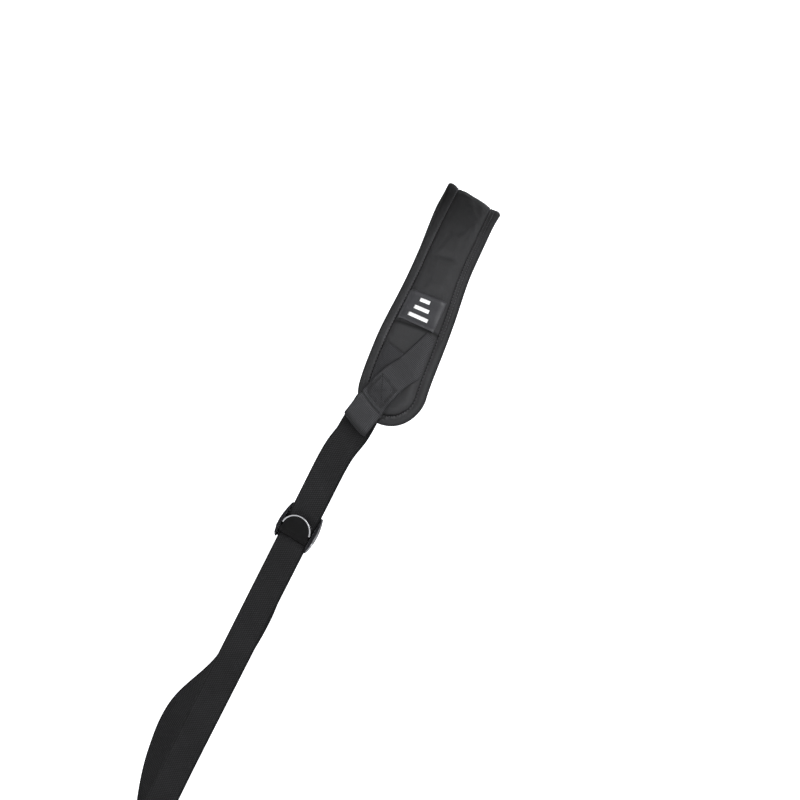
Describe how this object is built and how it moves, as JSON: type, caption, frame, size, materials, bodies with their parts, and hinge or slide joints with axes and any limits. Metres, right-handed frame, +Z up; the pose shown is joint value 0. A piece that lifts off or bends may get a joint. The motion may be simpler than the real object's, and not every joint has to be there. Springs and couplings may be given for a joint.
{
  "type": "shoulder sling strap",
  "caption": "Padded cross-body shoulder sling strap: curved shoulder pad, one long webbing loop, a cam slider on the front leg and a swivel snap hook at the hip.",
  "frame": {"origin": "underside of the pad where it crosses the crest of the wearer's left shoulder", "axes": "+Z up, +X to the wearer's left, +Y to the wearer's back"},
  "size_m": [0.3417, 0.2482, 0.6645],
  "materials": {
    "cover_nylon": "smooth tight-woven black nylon",
    "liner_mesh": "open knit mesh",
    "foam": "closed cell foam",
    "binding_tape": "fine woven tape",
    "thread": "bonded sewing thread",
    "label_fabric": "dense woven label",
    "label_white": "white woven thread",
    "anchor_webbing": "coarse black webbing",
    "main_webbing": "fine ribbed black webbing",
    "slider_metal": "black nickel",
    "lever_plastic": "moulded black nylon",
    "bright_rim": "polished",
    "bright_pin": "turned steel",
    "hook_metal": "black nickel",
    "spring_steel": "spring wire"
  },
  "bodies": {
    "strap": {"pad_liner": "liner_mesh", "pad_foam": "foam", "pad_cover": "cover_nylon", "pad_binding": "binding_tape", "pad_seam_thread": "thread", "label_patch": "label_fabric", "label_mark": "label_white", "front_anchor_webbing": "anchor_webbing", "front_box_stitch": "thread", "rear_anchor_webbing": "anchor_webbing", "rear_box_stitch": "thread", "main_webbing": "main_webbing"},
    "slider": {"slider_frame": "slider_metal", "slider_pivot_pin": "bright_pin", "slider_cross_pin": "bright_pin"},
    "lever": {"cam_lever": "lever_plastic", "lever_rim": "bright_rim"},
    "ring": {"sling_ring": "hook_metal"},
    "hook": {"swivel_post": "bright_pin", "swivel_washer": "bright_pin", "hook_body": "hook_metal", "gate_pin": "bright_pin"},
    "gate": {"hook_gate": "hook_metal", "gate_spring": "spring_steel"}
  },
  "joints": [
    {"name": "slider_travel", "type": "slide", "parent": "strap", "child": "slider", "axis": [-0.4801, 0.0873, -0.8729], "range_m": [-0.05, 0.15]},
    {"name": "lever_open", "type": "hinge", "parent": "slider", "child": "lever", "pos_m": [-0.11399, -0.1221, -0.2612], "axis": [0.8762, 0, -0.4819], "range_deg": [0, 110]},
    {"name": "ring_swing", "type": "hinge", "parent": "strap", "child": "ring", "pos_m": [-0.295, 0, -0.5849], "axis": [1, 0, 0], "range_deg": [-40, 40]},
    {"name": "hook_swivel", "type": "hinge", "parent": "ring", "child": "hook", "pos_m": [-0.295, 0, -0.6], "axis": [0, 0, 1], "continuous": true},
    {"name": "gate_open", "type": "hinge", "parent": "hook", "child": "gate", "pos_m": [-0.305, 0, -0.61545], "axis": [0, -1, 0], "range_deg": [0, 28], "stiffness_Nm_per_rad": 0.01, "springref_deg": -11.46}
  ]
}
